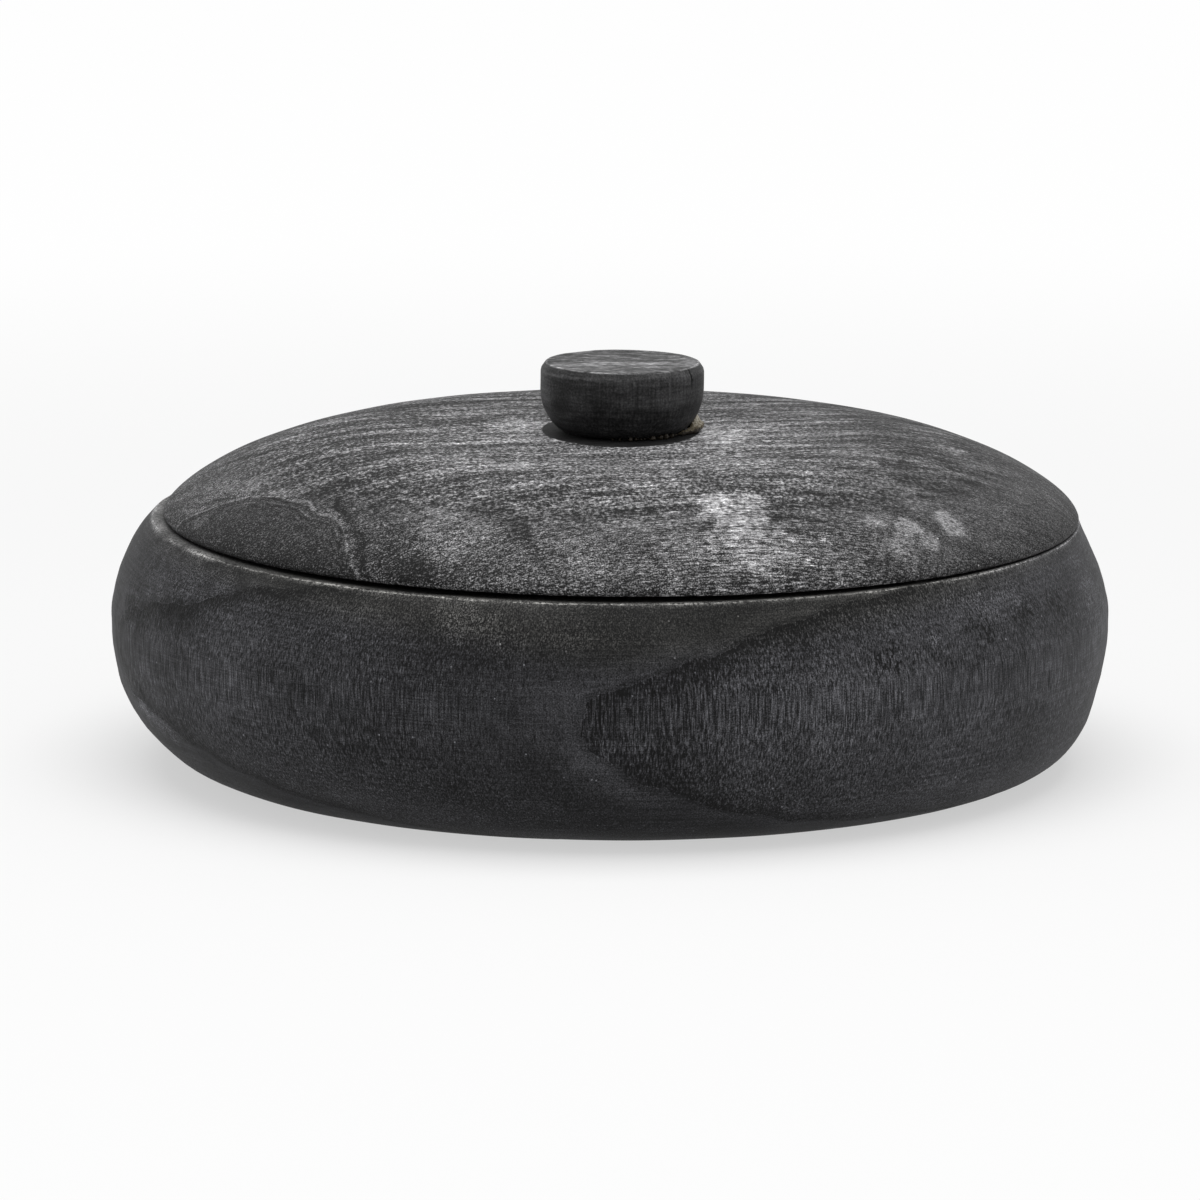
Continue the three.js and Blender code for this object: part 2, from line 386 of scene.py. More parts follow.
def patches(places, seed):
    """The strength of the strongest place at each point. A place is given by its middle, half
    its width along the side, half its height and its strength. Its reach is the distance from
    its middle over these halves, made uneven, and it fades by a smooth step of that reach."""
    field = np.zeros_like(x)
    for middle_x, middle_y, middle_z, half_along, half_up, strength in places:
        reach = np.hypot(np.hypot(x - middle_x, y - middle_y) / half_along,
                         (z - middle_z) / half_up)
        reach = reach + 0.22 * unevenness(x, y, z, 6, seed)
        field = np.maximum(field, strength * (1 - smooth(reach, 0.35, 1.2)))
    return field


# Where the wood is torn into coarse pits, and where a hand or a cloth has left it paler
pitted = patches((
    (86, -133, 58.5, 8, 5, 1.0), (116, -106, 63, 8, 5, 0.8), (128, -90, 65.5, 9, 4, 1.0),
    (141, -70, 64, 9, 5, 0.9), (104, -118, 57, 16, 5, 0.4), (-150, -48, 62, 10, 9, 0.6),
    (-138, -76, 66, 14, 8, 0.6)), seed=13)
paler = patches((
    (-44, -146, 74, 11, 8, 0.45), (-36, -149, 69, 8, 8, 0.3), (-148, -56, 33, 9, 14, 1.0),
    (-151, -50, 50, 6, 14, 1.0), (-140, -66, 24, 18, 5, 0.7), (-138, -74, 72, 38, 9, 0.55),
    (68.6, -119, 3, 3.5, 1.6, 1.5), (100.5, -121, 62, 3.4, 2.6, 0.55),
    (80, -129, 74, 14, 4, 0.4), (118, -98, 70, 20, 5, 0.35), (154, -37, 58, 14, 16, 0.35),
    (-10, -150, 69, 26, 4, 0.2), (54, -150, 46, 46, 22, 0.2)), seed=14)
bowl = skin("turned_bowl", x, y, z, {
    "arris": arris_wear, "long_grain": long_grain, "pitted": pitted, "paler": paler})


def spread(tree, value, low, high, at_low, at_high):
    """A straight change from at_low at low to at_high at high, held at its ends."""
    return step_between(tree, value, low, high, at_low, at_high, kind="LINEAR")


def times(tree, first, *others):
    """The product of marks or numbers: it shows only where all of them do."""
    for other in others:
        first = reckon(tree, "MULTIPLY", first, other)
    return first


def marked(tree, shade, *marks):
    """A shade plus each mark times its amount. A mark is 1 where it shows in full, 0 outside."""
    for mark, amount in marks:
        shade = reckon(tree, "MULTIPLY_ADD", mark, amount, shade)
    return shade


def varied(tree, shade, *textures):
    """A shade plus each texture's distance from its middle, 0.5, times its amount."""
    for texture, amount in textures:
        shade = marked(tree, shade, (reckon(tree, "SUBTRACT", texture, 0.5), amount))
    return shade


def mark_of(tree, name):
    """A number that the mesh carries at each of its points."""
    return add_node(tree, "ShaderNodeAttribute", attribute_name=name).outputs["Fac"]


def place_in_mm(tree):
    """The place on the piece, in millimetres."""
    place = add_node(tree, "ShaderNodeTexCoord").outputs["Object"]
    return vector_reckon(tree, "MULTIPLY", place, (1 / MM, 1 / MM, 1 / MM))


def coordinates(tree, place):
    """The X, Y and Z of a place."""
    return add_node(tree, "ShaderNodeSeparateXYZ", {0: place}).outputs


def stretched(tree, place, factor_x, factor_y, factor_z):
    """A place times a factor each way, so that a texture on it is drawn out by one over that."""
    return vector_reckon(tree, "MULTIPLY", place, (factor_x, factor_y, factor_z))


def mottle(tree, place, size, detail=2.0, roughness=0.5):
    """Smooth random mottling, 0 to 1, in patches of about a size in millimetres, plus a finer and
    weaker one for each step of detail."""
    return add_node(
        tree, "ShaderNodeTexNoise",
        {"Vector": place, "Scale": 1.0 / size, "Detail": detail, "Roughness": roughness},
        noise_dimensions="3D").outputs["Fac"]


def scattered(tree, place, spacing, size, share, channel=0, core=0.45):
    """Small spots, 1 inside and 0 outside: one in each cell of a random scatter of a spacing, but
    only where the cell's own random number is below a share. Each fades from its core, a part
    of its size, out to its size."""
    scatter = add_node(tree, "ShaderNodeTexVoronoi", {"Vector": place, "Scale": 1 / spacing},
                       voronoi_dimensions="3D", feature="F1").outputs
    draw = add_node(tree, "ShaderNodeSeparateColor", {0: scatter["Color"]}).outputs[channel]
    spot = step_between(tree, scatter["Distance"], size / spacing, core * size / spacing)
    return times(tree, spot, reckon(tree, "LESS_THAN", draw, share))


def ring_distance(tree, place, pith, lean, axis, waver):
    """How far out in the tree a place is, in millimetres: its distance from the pith, a line that
    passes a point and leans as it goes along an axis. Two mottlings are added, a slow one of
    2.5 mm either way and one from fibre to fibre of the given waver."""
    from_pith = vector_reckon(tree, "SUBTRACT", place, pith)
    leaning = add_node(tree, "ShaderNodeVectorMath",
                       {0: lean, "Scale": coordinates(tree, from_pith)[axis]},
                       operation="SCALE").outputs["Vector"]
    out = stretched(tree, vector_reckon(tree, "SUBTRACT", from_pith, leaning),
                    *(0.0 if letter == axis else 1.0 for letter in "XYZ"))
    out = vector_reckon(tree, "LENGTH", out)
    for size, detail, sway in ((25.0, 1.0, 2.5), (3.0, 2.0, waver)):
        out = varied(tree, out, (mottle(tree, place, size, detail), 2 * sway))
    return out


def ring_phase(tree, distance, rings):
    """Millimetres outwards from the last ring boundary, and millimetres on to the next one. A
    boundary that is passed, by a step 0.6 mm wide, becomes the start, and as an end it is moved
    out of reach."""
    start, end, out_of_reach = 0.0, 1000.0, 1000.0
    for ring in rings:
        passed = step_between(tree, distance, ring - 0.3, ring + 0.3)
        start = reckon(tree, "MAXIMUM", start, times(tree, passed, ring))
        end = reckon(tree, "MINIMUM", end, marked(tree, ring, (passed, out_of_reach)))
    return reckon(tree, "SUBTRACT", distance, start), reckon(tree, "SUBTRACT", end, distance)


def colour_between(tree, share, first, second):
    """The second colour times a share, plus the first one times the rest."""
    mixed = add_node(tree, "ShaderNodeMix", {0: share, 6: first, 7: second}, data_type="RGBA")
    return mixed.outputs[2]


def stained(tree, shade, coolness=0.5):
    """The colour of the stained wood: a tint, between a warm one and a cool one by a share, times
    the shade to the power 2.2. Shades run as the eye judges them, from 0, black, to 1, white."""
    grey = reckon(tree, "POWER", reckon(tree, "MAXIMUM", shade, 0.02), 2.2)
    tint = colour_between(tree, coolness, (1.015, 1.0, 0.955, 1), (0.99, 0.99, 1.075, 1))
    return add_node(tree, "ShaderNodeVectorMath", {0: tint, "Scale": grey},
                    operation="SCALE").outputs["Vector"]


def finish(tree, colour, roughness, gloss, height, depth, strength):
    """The surface: a colour, a roughness and a gloss, over fine relief whose height is a number
    times a depth in millimetres, taken at a strength."""
    bump = add_node(tree, "ShaderNodeBump",
                    {"Strength": strength, "Distance": depth * MM, "Height": height})
    shader = add_node(tree, "ShaderNodeBsdfPrincipled",
                      {"Base Color": colour, "Roughness": roughness, "Specular IOR Level": gloss,
                       "Normal": bump.outputs[0]})
    add_node(tree, "ShaderNodeOutputMaterial", {"Surface": shader.outputs[0]})


bowl_end_shade, bowl_side_shade, bowl_darkest = 0.138, 0.182, 0.045
bowl_fibre_length = 15


def bowl_wood():
    """A shade by the direction of the grain, plus textures and marks times their amounts. After
    a ring's boundary come coarse open pores, a paler band and upright lines that grow fainter.
    Over them lie the tool's level lines, torn pits, dust, the rubbed arris and bright specks."""
    material, tree = empty_material("stained_wood_bowl")
    place = place_in_mm(tree)
    at = coordinates(tree, place)
    upright = stretched(tree, place, 1.0, 1.0, 1 / bowl_fibre_length)
    distance = ring_distance(tree, place, bowl_pith, bowl_pith_lean, "Z", waver=0.4)
    since, until = ring_phase(tree, distance, bowl_rings)

    early = step_between(tree, since, 13.0, 0.0)
    past_edge = times(tree, step_between(tree, since, 0.8, 4.5),
                      step_between(tree, since, 17.0, 7.0))
    coarse = step_between(tree, mottle(tree, upright, 0.68, 2.0, 0.6), 0.54, 0.42)
    open_pores = times(tree, coarse, early)
    closed_pores = scattered(tree, upright, spacing=1.8, size=0.40, share=0.6)
    fine_line = mottle(tree, upright, 0.42, 1.0)
    lined = step_between(tree, since, 27.0, 16.0, 0.16, 0.56)
    speckle = mottle(tree, place, 0.4, 1.0)
    cloud = mottle(tree, place, 24.0, 4.0, 0.6)
    tool_line = mottle(tree, stretched(tree, place, 0.02, 0.02, 1.0), 0.62, 3.0, 0.8)
    scored = step_between(tree, mottle(tree, place, 34.0, 2.0), 0.36, 0.6, 0.08, 0.30)
    torn = mottle(tree, stretched(tree, place, 1.0, 1.0, 0.36), 1.15, 2.0, 0.6)
    pit = times(tree, step_between(tree, torn, 0.50, 0.43), mark_of(tree, "pitted"))
    dust = step_between(tree, marked(tree, speckle, (fine_line, 0.7)), 0.72, 1.05)
    dust = times(tree, dust, mark_of(tree, "paler"), step_between(tree, since, 0.0, 9.0, 0.05, 1.0))

    shade = spread(tree, mark_of(tree, "long_grain"), 0.0, 1.0, bowl_end_shade, bowl_side_shade)
    shade = marked(tree, shade, (step_between(tree, at["X"], 35.0, 110.0), 0.046))
    shade = varied(tree, shade, (cloud, 0.18), (tool_line, scored), (speckle, 0.45),
                   (fine_line, lined))
    shade = marked(
        tree, shade, (past_edge, 0.05), (early, 0.025), (open_pores, -0.108),
        (closed_pores, -0.06), (step_between(tree, since, 2.6, 0.3), -0.05),
        (step_between(tree, until, 5.0, 0.5), 0.04), (pit, -0.19), (dust, 0.26))
    shade = reckon(tree, "MAXIMUM", shade, bowl_darkest)

    nick = mottle(tree, place, 1.0, 2.0, 0.7)
    rubbed = times(tree, mark_of(tree, "arris"), step_between(tree, nick, 0.38, 0.58, 0.2, 1.15))
    speck = scattered(tree, place, spacing=4.6, size=0.40, share=0.35, channel=1, core=0.4)
    shade = marked(tree, shade, (rubbed, 0.46), (speck, 0.30))

    # The colour is warm high up in the middle, and cool lower down and towards both sides
    high_up = marked(tree, at["Z"], (reckon(tree, "ABSOLUTE", at["X"]), -0.12))
    finish(tree, stained(tree, shade, step_between(tree, high_up, 68.0, 56.0)),
           roughness=spread(tree, speckle, 0.25, 0.75, 0.52, 0.72), gloss=0.15,
           height=marked(tree, times(tree, speckle, 0.5), (open_pores, -1.0), (pit, -2.0),
                         (closed_pores, -0.8)),
           depth=0.2, strength=0.7)
    return material


bowl.data.materials.append(bowl_wood())
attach(bowl, "bowl")
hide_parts("bowl")


# The lid: a disc of the same wood with its fibres lying across it, domed on top, hollowed below,
# with a turned spigot that drops into the mouth. It has cupped a little across its grain, and
# it lies deeper on its right side.
lid_inset = 2.0
lid_height = 27.1
shoulder_width = 71.0
shoulder_power = (1.83, 1.37)
edge_depth = 1.2
edge_inset = 0.6
crown_thickness = 15.0
spigot_clearance = 2.6
spigot_depth = 7.0
spigot_width = 9.0
spigot_chamfer = 1.2
vault_corner = 55.0
vault_power = (2.2, 2.0)
lid_cup = 0.5
seat_gap = 0.3
dowel_radius = 5.0
dowel_in_lid = 10.0
lid_radius = rim_radius - lid_inset
spigot_radius = mouth_radius - spigot_clearance
lid_tilt = math.asin(rim_rise / (2 * lid_radius))
lid_turns = 600


def lid_outline():
    """From the vault's middle, round the spigot and the edge, over the dome, down the hole. The
    vault's corner and the dome's shoulder are superellipse arcs, and the rest is straight but
    for a small round under the edge."""
    spigot_inner = spigot_radius - spigot_width
    vault_z = lid_height - crown_thickness
    hole_radius = dowel_radius + seat_gap
    hole_z = lid_height - dowel_in_lid - seat_gap
    return joined(
        straight(0, vault_z, spigot_inner - vault_corner, vault_z, steps=5),
        soft_arc(spigot_inner - vault_corner, -spigot_depth, vault_corner,
                 vault_z + spigot_depth, 90, 0, 20, *vault_power),
        straight(spigot_inner, -spigot_depth, spigot_radius - spigot_chamfer, -spigot_depth, 3),
        straight(spigot_radius - spigot_chamfer, -spigot_depth,
                 spigot_radius, spigot_chamfer - spigot_depth, steps=2),
        straight(spigot_radius, spigot_chamfer - spigot_depth, spigot_radius, 0, steps=3),
        straight(spigot_radius, 0, lid_radius - edge_inset, 0, steps=5),
        soft_arc(lid_radius - edge_inset, edge_depth, edge_inset, edge_depth, -90, 0, steps=4),
        soft_arc(lid_radius - shoulder_width, edge_depth, shoulder_width,
                 lid_height - edge_depth, 0, 90, 78, *shoulder_power),
        straight(lid_radius - shoulder_width, lid_height, hole_radius, lid_height, steps=26),
        straight(hole_radius, lid_height, hole_radius, hole_z, steps=3),
        straight(hole_radius, hole_z, 0, hole_z, steps=2))


def laid(x, y, z):
    """From the lid's own place, zero under its edge, to where it lies: turned about Y by the
    tilt, and moved to the mouth's middle and up to the gap over the rim's mean height."""
    lifted = rim_z + seat_gap + rim_rise / 2
    return (turning_axis_x + x * math.cos(lid_tilt) + z * math.sin(lid_tilt), y,
            lifted - x * math.sin(lid_tilt) + z * math.cos(lid_tilt))


outline = lid_outline()
normal = outline_normals(outline)
r, turn, z = turned(outline, lid_turns)
x = r * np.cos(turn)
y = r * np.sin(turn)
z = z + lid_cup * (y / lid_radius) ** 2
out_x, out_y = normal[:, :1] * np.cos(turn), normal[:, :1] * np.sin(turn)
out_z = normal[:, 1:] + 0 * r

# The dark ring round the knob: an oval, longest to the front, where the stain was never rubbed,
# and painted shadow under the knob's overhang darkens it as well
dark_ring_x, dark_ring_y = -0.4, 3.0
dark_ring_half_width = 25.2
dark_ring_half_depth = np.where(y < dark_ring_y, 34.5, 28)
from_ring = dark_ring_half_width * np.hypot((x - dark_ring_x) / dark_ring_half_width,
                                            (y - dark_ring_y) / dark_ring_half_depth)
x, y, z = laid(x, y, z)

# Its fibres run to the right and a little to the back. Where they come out of the dome, the end
# grain drank more stain; where they lie along it, the wood rubbed pale in long streaks. The
# rings cross the surface by the sine of the angle between its outward direction and theirs.
lid_fibres = (0.976, 0.215, 0.03)
end_grain = np.abs(out_x * lid_fibres[0] + out_y * lid_fibres[1] + out_z * lid_fibres[2])
lid_pith = (0.0, -67.9, 15.7)
lid_pith_lean = (0.0, -0.163, 0.289)
lid_rings = (56.0, 70.0, 83.0, 98.0, 112.0, 125.0, 140.0, 154.0, 170.0, 186.0, 203.0)
ring_y = y - lid_pith[1] - lid_pith_lean[1] * x
ring_z = z - lid_pith[2] - lid_pith_lean[2] * x
alike = (out_y * ring_y + out_z * ring_z) / np.hypot(ring_y, ring_z)
crossing = np.sqrt(np.clip(1 - alike ** 2, 0, 1))

# The tongue: a flame of smoother, darker wood at the lid's left, where a growth ring comes out.
# It is a quarter of a superellipse about a corner beyond the lid, in millimetres from its edge.
tongue_corner = (-150.0, -125.0)
tongue_reach = (72.0, 89.0)
tongue_power = 1.7
tongue_scale = 80
across = np.clip((x - tongue_corner[0]) / tongue_reach[0], 0, None)
back = np.clip((y - tongue_corner[1]) / tongue_reach[1], 0, None)
tongue = (across ** tongue_power + back ** tongue_power) ** (1 / tongue_power) - 1
tongue = tongue * tongue_scale + 0.8 * unevenness(x, y, z, 16, seed=21)

# Two lines that the turning tool left: a ridge that falls to the front beside the tongue, and a
# long shallow cut over the crown with a paler lip behind it. Each is a distance in millimetres
# from the line, which also grows beyond the line's ends, so that it runs out there.
ridge_front, ridge_lean, ridge_end_y, ridge_run_out = (-75, -124), 0.22, -86, 0.12
ridge = x - ridge_front[0] + ridge_lean * (y - ridge_front[1])
ridge = ridge + 0.5 * unevenness(x, y, z, 14, seed=23)
ridge = np.hypot(ridge, ridge_run_out * np.clip(y - ridge_end_y, 0, None))
cut_y, cut_bend_x, cut_bend, cut_ends, cut_run_out = -24, -10, 14, (-84, -16), 0.14
lip_behind = 6
crown_cut = np.clip(cut_bend_x - x, 0, None) / (cut_bend_x - cut_ends[0])
crown_cut = y - cut_y + cut_bend * crown_cut ** 1.5 + 0.6 * unevenness(x, y, z, 18, seed=24)
beyond_cut = cut_run_out * np.clip(np.maximum(x - cut_ends[1], cut_ends[0] - x), 0, None)
crown_lip = np.hypot(crown_cut - lip_behind, beyond_cut)
crown_cut = np.hypot(crown_cut, beyond_cut)


def reach_from(middle_x, middle_y, half_x, half_y):
    """How far each point of the lid is from an oval's middle: 1 on the oval itself, whose half
    width and half depth divide the distance each way."""
    return np.hypot((x - middle_x) / half_x, (y - middle_y) / half_y)


# Where hands and cloths have rubbed the stain thin: middle, half width, half depth and strength
rubbed = np.zeros_like(x)
for middle_x, middle_y, half_x, half_y, strength in (
        (40, -111, 10, 14, 0.85), (33, -105, 5, 8, 1.0), (46, -124, 14, 12, 0.6),
        (24, -130, 12, 6, 0.3), (93, -97, 6, 6, 0.6), (106, -85, 5, 7, 0.7),
        (81, -100, 3, 3, 0.4), (90, -108, 5, 7, 0.4), (99, -99, 3, 4, 0.5),
        (74, -37, 5, 4, 0.35), (81, -50, 4, 5, 0.35), (86, -60, 4, 5, 0.25),
        (112, -11, 5, 9, 0.35), (34, -5, 9, 20, 0.6), (-30, 10, 10, 16, 0.45),
        (37, -44, 10, 12, 0.25), (-45, -112, 16, 16, 0.2), (-129, -52, 3, 3, 0.5)):
    reach = reach_from(middle_x, middle_y, half_x, half_y)
    reach = reach + 0.13 * unevenness(x, y, z, 7, seed=int(middle_x) + 300)
    rubbed = np.maximum(rubbed, strength * (1 - smooth(reach, 0.75, 1.15)))

# Where the long lines of the grain show: over the crown, and between the front and the patch
lined = 0.45 * smooth(out_z, 0.9, 0.99)
for middle_x, middle_y, half_x, half_y, strength in (
        (48, -122, 40, 24, 1.0), (20, -100, 34, 14, 0.7), (98, -112, 24, 16, 0.2)):
    reach = reach_from(middle_x, middle_y, half_x, half_y)
    lined = np.maximum(lined, strength * (1 - smooth(reach, 0.4, 1.3)))

# Where cloths have worn it most, before and beside the knob; and the calmer grain at its right
worn = 1 - smooth(reach_from(12, -45, 75, 62), 0.5, 1.3)
worn = worn + 0.9 * smooth(y, -30, -5) * (1 - smooth(reach_from(6, 8, 1, 1), 55, 85))
lively = (1.22 - 0.5 * smooth(x + 0.2 * y, 30, 90)) * (1 - 0.3 * smooth(y, 0, 50))

# The underside and the spigot were never rubbed or scored: no mark of the top shows there
far_off = 99.0
topside = (np.arange(len(outline)) >= np.argmax(outline[:, 0]))[:, None]
rubbed, worn, lined = rubbed * topside, worn * topside, lined * topside
from_ring, ridge, crown_cut, crown_lip = (
    np.where(topside, line, far_off) for line in (from_ring, ridge, crown_cut, crown_lip))

# The dome waves slowly, and stands a little higher beyond the tongue
dome_wave, tongue_step = 0.06, 0.07
relief = dome_wave * unevenness(x, y, z, 30, seed=22) + tongue_step * smooth(tongue, -0.8, 0.8)
relief = relief * smooth(out_z, 0.02, 0.2)
x, y, z = x + relief * out_x, y + relief * out_y, z + relief * out_z
lid = skin("turned_lid", x, y, z, {
    "tongue": tongue, "end_grain": end_grain, "crossing": crossing, "rubbed": rubbed,
    "from_knob": r, "from_ring": from_ring, "lined": lined, "worn": worn, "lively": lively,
    "level": smooth(out_z, 0.88, 0.98), "ridge": ridge, "crown_cut": crown_cut,
    "crown_lip": crown_lip})


def along_fibres(tree, place, fibres, length):
    """Places turned so that the fibres lie along X, and shrunk along them, so that a texture on
    them is drawn out along the fibres by a length."""
    swing = math.atan2(fibres[1], fibres[0])
    rise = math.asin(fibres[2])
    for angle, axis in ((-swing, "Z_AXIS"), (rise, "Y_AXIS")):
        place = add_node(tree, "ShaderNodeVectorRotate", {"Vector": place, "Angle": angle},
                         rotation_type=axis).outputs[0]
    return stretched(tree, place, 1 / length, 1.0, 1.0)


def flat_place(tree, across, along):
    """A place on a flat sheet, from two numbers."""
    return add_node(tree, "ShaderNodeCombineXYZ", {0: across, 1: along, 2: 0.0}).outputs[0]


def blend(tree, share, first, second):
    """The second number times a share, plus the first one times the rest."""
    return add_node(tree, "ShaderNodeMix", {0: share, 2: first, 3: second},
                    data_type="FLOAT").outputs[0]


lid_flat_shade, lid_end_shade, lid_darkest = 0.325, 0.255, 0.07
# The dark ring's shade: kept stain darkened further by painted shadow under the knob
dark_ring_shade = 0.115


def lid_wood():
    """A shade by how squarely the fibres come out, plus broad marks. A fine texture is added,
    times how lively and how calm the place is: short flecks, specks and pores on the slope,
    broader flecks on the level crown, and layers and long lines of the grain. The lines of the
    rings, the tongue and the tool come next, then the rubbed places and the dark ring, which is
    kept stain with painted shadow under the knob."""
    material, tree = empty_material("stained_wood_lid")
    place = place_in_mm(tree)
    tongue, end_grain, rubbed, level, lively, from_ring = (
        mark_of(tree, name)
        for name in ("tongue", "end_grain", "rubbed", "level", "lively", "from_ring"))
    in_tongue = step_between(tree, tongue, 0.7, -0.7)
    distance = ring_distance(tree, place, lid_pith, lid_pith_lean, "X", waver=1.2)
    since, until = ring_phase(tree, distance, lid_rings)

    short = along_fibres(tree, place, lid_fibres, 4.5)
    fleck = mottle(tree, short, 0.56, 2.0, 0.7)
    pore = scattered(tree, short, spacing=1.25, size=0.42, share=0.55)
    broad_fleck = mottle(tree, stretched(tree, place, 0.55, 0.36, 1.0), 0.62, 2.0, 0.75)
    speckle = mottle(tree, place, 0.46, 1.0)
    cloud = mottle(tree, place, 22.0, 3.0, 0.55)
    broken = mottle(tree, place, 4.0, 3.0, 0.6)
    layer_place = flat_place(tree, distance, times(tree, coordinates(tree, place)["X"], 0.05))
    layer = mottle(tree, layer_place, 2.4, 4.0, 0.75)
    long_line = mottle(tree, along_fibres(tree, place, lid_fibres, 26), 0.95, 2.0, 0.6)
    sweep = mottle(tree, along_fibres(tree, place, lid_fibres, 9), 7.0, 4.0, 0.8)
    tongue_place = flat_place(tree, tongue, times(tree, end_grain, 20.0))
    tongue_line = mottle(tree, tongue_place, 0.9, 2.0, 0.6)
    near_edge = times(tree, step_between(tree, tongue, -13.0, -5.0),
                      step_between(tree, tongue, 1.0, -1.0))

    shade = spread(tree, end_grain, 0.0, 0.5, lid_flat_shade, lid_end_shade)
    shade = marked(tree, shade, (level, -0.05), (mark_of(tree, "worn"), 0.07), (in_tongue, -0.08))
    shade = varied(tree, shade, (cloud, spread(tree, in_tongue, 0.0, 1.0, 0.22, 0.06)))
    on_slope = marked(tree, varied(tree, 0.0, (fleck, 1.15), (speckle, 1.1)), (pore, -0.12))
    on_crown = varied(tree, 0.0, (broad_fleck, 1.6), (fleck, 1.0))
    texture = varied(tree, blend(tree, level, on_slope, on_crown),
                     (tongue_line, times(tree, near_edge, 0.7)),
                     (layer, spread(tree, in_tongue, 0.0, 1.0, 0.48, 0.12)))
    texture = varied(tree, times(tree, texture, lively),
                     (sweep, spread(tree, level, 0.0, 1.0, 0.3, 1.2)),
                     (long_line, times(tree, mark_of(tree, "lined"), 1.1)))
    calm = times(tree, spread(tree, in_tongue, 0.0, 1.0, 1.0, 0.72),
                 spread(tree, rubbed, 0.3, 0.9, 1.0, 0.78))

    ring_edge = times(tree, step_between(tree, until, 1.6, 0.3), 0.10)
    ring_edge = marked(tree, ring_edge, (step_between(tree, since, 1.5, 0.2), -0.13))
    ring_edge = times(tree, ring_edge, step_between(tree, in_tongue, 1.0, 0.0),
                      spread(tree, lively, 0.75, 1.15, 0.0, 1.0))
    crossing = step_between(tree, mark_of(tree, "crossing"), 0.12, 0.45)
    tongue_edge = reckon(tree, "ABSOLUTE", reckon(tree, "ADD", tongue, 0.8))
    tongue_edge = times(tree, step_between(tree, tongue_edge, 1.1, 0.2),
                        step_between(tree, broken, 0.38, 0.52))
    ridge = step_between(tree, mark_of(tree, "ridge"), 1.7, 0.5)
    cut = step_between(tree, mark_of(tree, "crown_cut"), 2.4, 0.6)
    lip = times(tree, step_between(tree, mark_of(tree, "crown_lip"), 3.4, 0.8),
                step_between(tree, broken, 0.36, 0.56))
    patchy = reckon(tree, "ADD", fleck, mottle(tree, place, 3.5, 2.0))
    patchy = spread(tree, step_between(tree, patchy, 0.8, 1.15), 0.0, 1.0, 0.52, 1.06)
    outer_rim = step_between(tree, mark_of(tree, "from_knob"), 138.0, 147.0)
    pale_line = reckon(
        tree, "ABSOLUTE", reckon(tree, "SUBTRACT", from_ring, dark_ring_half_width + 0.8))
    pale_line = step_between(tree, pale_line, 1.1, 0.2)
    shade = marked(
        tree, shade, (texture, calm), (ring_edge, crossing), (tongue_edge, 0.24), (ridge, -0.15),
        (cut, -0.13), (lip, 0.12), (times(tree, rubbed, patchy), 0.37), (outer_rim, -0.05),
        (pale_line, 0.10))

    # The dark ring replaces the shade here: kept stain, with painted shadow from the knob in it
    under_knob = step_between(tree, from_ring, dark_ring_half_width + 0.3,
                              dark_ring_half_width - 0.3)
    kept_stain_and_shadow = varied(tree, dark_ring_shade, (fleck, 0.25), (long_line, 0.3))
    shade = blend(tree, under_knob, shade, kept_stain_and_shadow)
    speck = scattered(tree, place, spacing=6.0, size=0.5, share=0.2, channel=1, core=0.4)
    shade = marked(tree, reckon(tree, "MAXIMUM", shade, lid_darkest), (speck, 0.35))
    finish(tree, stained(tree, shade), roughness=spread(tree, fleck, 0.3, 0.7, 0.62, 0.8),
           gloss=0.15, height=marked(tree, fleck, (pore, -1.0)), depth=0.2, strength=0.6)
    return material


lid.data.materials.append(lid_wood())
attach(lid, "lid")
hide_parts("lid")


# The knob: a puck of the same wood, turned with a flat top, a bevel round it and a side that tucks
# in below. Hands have rubbed its top pale, its side has kept its stain, and it has one drying
# crack at the right. It is doweled and glued to the crown.
knob_radius = 26.2
knob_height = 22.4
knob_bevel = (1.7, 2.3)
knob_tuck = 8.7
knob_tuck_height = 13.6
knob_tuck_power = 1.8
dowel_in_knob = 12.0
knob_turns = 520
knob_base = lid_height + seat_gap
top_edge_r, side_edge_z = knob_radius - knob_bevel[0], knob_height - knob_bevel[1]
sharp_rows = 12


def knob_outline():
    """From the top of the dowel's hole, down it, over the base and the side to the top face. The
    tucked side is a superellipse arc, and all else is straight."""
    hole_radius = dowel_radius + seat_gap
    hole_z = dowel_in_knob + seat_gap
    return joined(
        straight(0, hole_z, hole_radius, hole_z, steps=2),
        straight(hole_radius, hole_z, hole_radius, 0, steps=4),
        straight(hole_radius, 0, knob_radius - knob_tuck, 0, steps=5),
        soft_arc(knob_radius - knob_tuck, knob_tuck_height, knob_tuck, knob_tuck_height,
                 -90, 0, 30, knob_tuck_power, knob_tuck_power),
        straight(knob_radius, knob_tuck_height, knob_radius, side_edge_z, steps=8),
        straight(knob_radius, side_edge_z, top_edge_r, knob_height, steps=9),
        straight(top_edge_r, knob_height, 0, knob_height, steps=30))


def softened(outline, keep_rows):
    """An outline with its corners eased: each point moved to the mean of itself and the two
    beside it, but for the first rows and the last."""
    eased = outline.copy()
    eased[1:-1] = (outline[:-2] + outline[1:-1] + outline[2:]) / 3
    eased[:keep_rows] = outline[:keep_rows]
    return eased


outline = softened(knob_outline(), sharp_rows)
normal = outline_normals(outline)
r, turn, height_on_knob = turned(outline, knob_turns)
x = r * np.cos(turn)
y = r * np.sin(turn)
z = height_on_knob
from_top_edge = np.hypot(r - top_edge_r, z - knob_height)
from_side_edge = np.hypot(r - knob_radius, z - side_edge_z)

# The drying crack runs down the side from the top edge, and tapers out half way down: it is the
# distance from a slightly wavy line, which grows below and at the top
crack_turn = math.radians(-32.5)
crack = np.abs(r * (turn - 2 * np.pi - crack_turn + 0.004 * np.sin(z * 1.3)))
crack = crack + 0.42 * (1 - smooth(z, 14.0, 18.5)) + 0.3 * smooth(z, 21.0, 22.2)
crack = np.where((turn > np.pi) & (r > 23.2), crack, 9.0)

